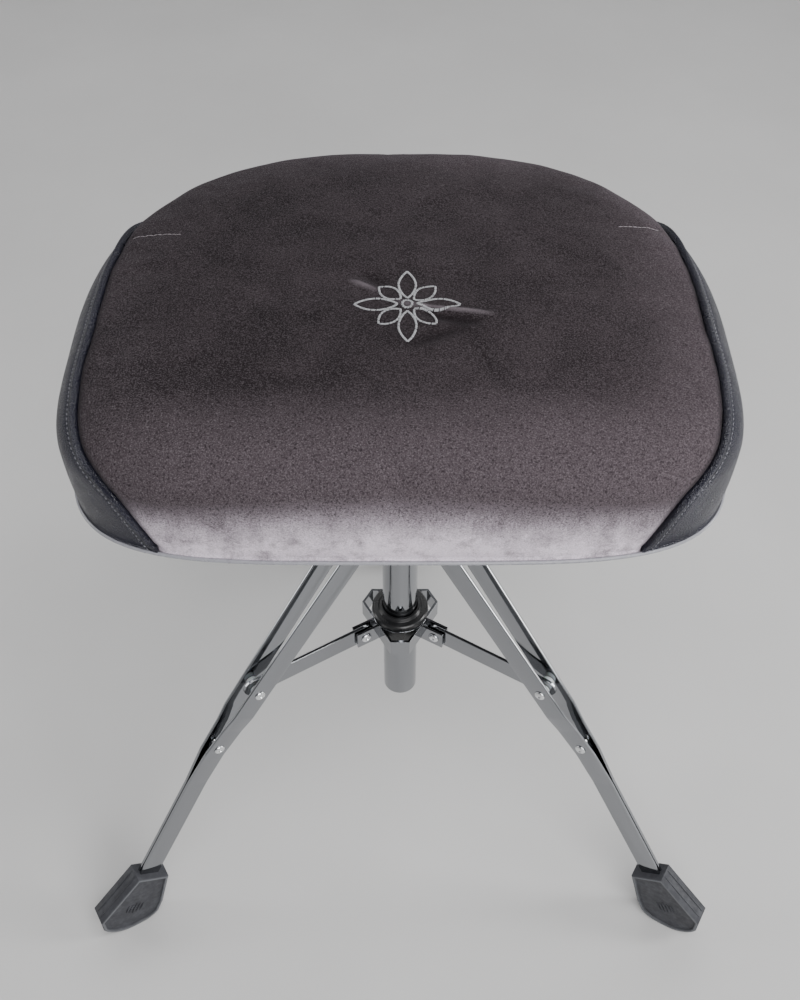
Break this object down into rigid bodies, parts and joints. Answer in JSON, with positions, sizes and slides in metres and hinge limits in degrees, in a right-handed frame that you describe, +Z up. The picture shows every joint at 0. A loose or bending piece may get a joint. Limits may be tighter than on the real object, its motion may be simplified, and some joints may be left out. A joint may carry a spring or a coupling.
{
  "type": "drum throne",
  "caption": "Padded saddle-shaped stool seat with a plush top on a gas lift, carried by a folding tripod of flat chrome bars with braces and rubber feet.",
  "frame": {"origin": "on the floor, under the middle of the whole object's outline; the centre tube stands 74.7 mm in front of it, towards -Y", "axes": "+Z up along the centre tube, -Y towards the seat's straight edge and between the two front legs, +Y along the rear leg, +X to the right seen from the straight edge"},
  "size_m": [0.555, 0.4806, 0.631],
  "materials": {
    "chrome": "bright chrome plate",
    "steel": "plain ground steel",
    "black_steel": "satin black powder coat",
    "black_plastic": "moulded black plastic",
    "nylon": "natural white nylon",
    "rubber": "moulded grey-black rubber",
    "plush": "short mauve-grey velour pile",
    "vinyl": "fine-grained black vinyl",
    "foam": "open-cell foam",
    "plywood": "bare plywood",
    "dust_cloth": "non-woven black cloth"
  },
  "bodies": {
    "base": {"centre_tube": "chrome", "column_top_bush": "black_plastic", "column_end_plug": "steel", "thrust_bearing": "steel", "rod_retaining_clip": "black_steel", "gas_spring_rod": "steel", "upper_collar": "chrome", "left_pivot_rivet": "chrome", "right_pivot_rivet": "chrome", "rear_pivot_rivet": "chrome"},
    "slider": {"lower_collar": "chrome", "collar_washer": "chrome", "collar_bush": "black_plastic", "left_lug_rivet": "chrome", "right_lug_rivet": "chrome", "rear_lug_rivet": "chrome"},
    "left_leg": {"left_leg_bar_a": "chrome", "left_leg_bar_b": "chrome", "left_brace_pin_a": "chrome", "left_brace_pin_b": "chrome", "left_leg_rivet": "chrome", "left_foot": "rubber"},
    "left_brace_arm": {"left_brace": "chrome"},
    "right_leg": {"right_leg_bar_a": "chrome", "right_leg_bar_b": "chrome", "right_brace_pin_a": "chrome", "right_brace_pin_b": "chrome", "right_leg_rivet": "chrome", "right_foot": "rubber"},
    "right_brace_arm": {"right_brace": "chrome"},
    "rear_leg": {"rear_leg_bar_a": "chrome", "rear_leg_bar_b": "chrome", "rear_brace_pin_a": "chrome", "rear_brace_pin_b": "chrome", "rear_leg_rivet": "chrome", "rear_foot": "rubber"},
    "rear_brace_arm": {"rear_brace": "chrome"},
    "lift": {"gas_cylinder": "chrome"},
    "button": {"valve_button": "steel"},
    "seat": {"plush_cover": "plush", "left_side_panel": "vinyl", "right_side_panel": "vinyl", "seat_foam": "foam", "seat_board": "plywood", "seat_dust_cover": "dust_cloth", "seat_mounting_plate": "black_steel", "front_left_seat_screw": "black_steel", "front_right_seat_screw": "black_steel", "rear_left_seat_screw": "black_steel", "rear_right_seat_screw": "black_steel", "seat_socket_hub": "black_steel", "swivel_bush": "nylon", "lever_pin": "steel"},
    "lever": {"release_lever": "black_steel", "lever_grip": "black_plastic"}
  },
  "joints": [
    {"name": "rear_leg_fold", "type": "hinge", "parent": "base", "child": "rear_leg", "pos_m": [0, -0.03868, 0.41], "axis": [-1, 0, 0], "range_deg": [0, 33]},
    {"name": "left_leg_fold", "type": "hinge", "parent": "base", "child": "left_leg", "pos_m": [-0.03118, -0.09268, 0.41], "axis": [0.5, -0.866, 0], "range_deg": [0, 33]},
    {"name": "right_leg_fold", "type": "hinge", "parent": "base", "child": "right_leg", "pos_m": [0.03118, -0.09268, 0.41], "axis": [0.5, 0.866, 0], "range_deg": [0, 33]},
    {"name": "collar_slide", "type": "slide", "parent": "base", "child": "slider", "axis": [0, 0, 1], "range_m": [0, 0.0651]},
    {"name": "left_brace_turn", "type": "hinge", "parent": "slider", "child": "left_brace_arm", "pos_m": [-0.03031, -0.09218, 0.276], "axis": [0.5, -0.866, 0], "range_deg": [0, 82.78]},
    {"name": "right_brace_turn", "type": "hinge", "parent": "slider", "child": "right_brace_arm", "pos_m": [0.03031, -0.09218, 0.276], "axis": [0.5, 0.866, 0], "range_deg": [0, 82.78]},
    {"name": "rear_brace_turn", "type": "hinge", "parent": "slider", "child": "rear_brace_arm", "pos_m": [0, -0.03968, 0.276], "axis": [-1, 0, 0], "range_deg": [0, 82.78]},
    {"name": "seat_height", "type": "slide", "parent": "base", "child": "lift", "axis": [0, 0, 1], "range_m": [-0.055, 0.045]},
    {"name": "seat_swivel", "type": "hinge", "parent": "lift", "child": "seat", "pos_m": [0, -0.07468, 0.49], "axis": [0, 0, 1], "continuous": true},
    {"name": "lever_lift", "type": "hinge", "parent": "seat", "child": "lever", "pos_m": [0.018, -0.07468, 0.519], "axis": [0, -1, 0], "range_deg": [0, 8], "stiffness_Nm_per_rad": 1, "springref_deg": -11.46},
    {"name": "button_press", "type": "slide", "parent": "lift", "child": "button", "axis": [0, 0, 1], "range_m": [-0.0027, 0]}
  ],
  "couplings": [
    {"joint": "left_leg_fold", "follows": "rear_leg_fold", "ratio": 1},
    {"joint": "right_leg_fold", "follows": "rear_leg_fold", "ratio": 1},
    {"joint": "collar_slide", "follows": "rear_leg_fold", "m_per_rad": 0.11285},
    {"joint": "left_brace_turn", "follows": "rear_leg_fold", "ratio": 2.5055},
    {"joint": "right_brace_turn", "follows": "rear_leg_fold", "ratio": 2.5055},
    {"joint": "rear_brace_turn", "follows": "rear_leg_fold", "ratio": 2.5055},
    {"joint": "button_press", "follows": "lever_lift", "m_per_rad": -0.019194}
  ]
}
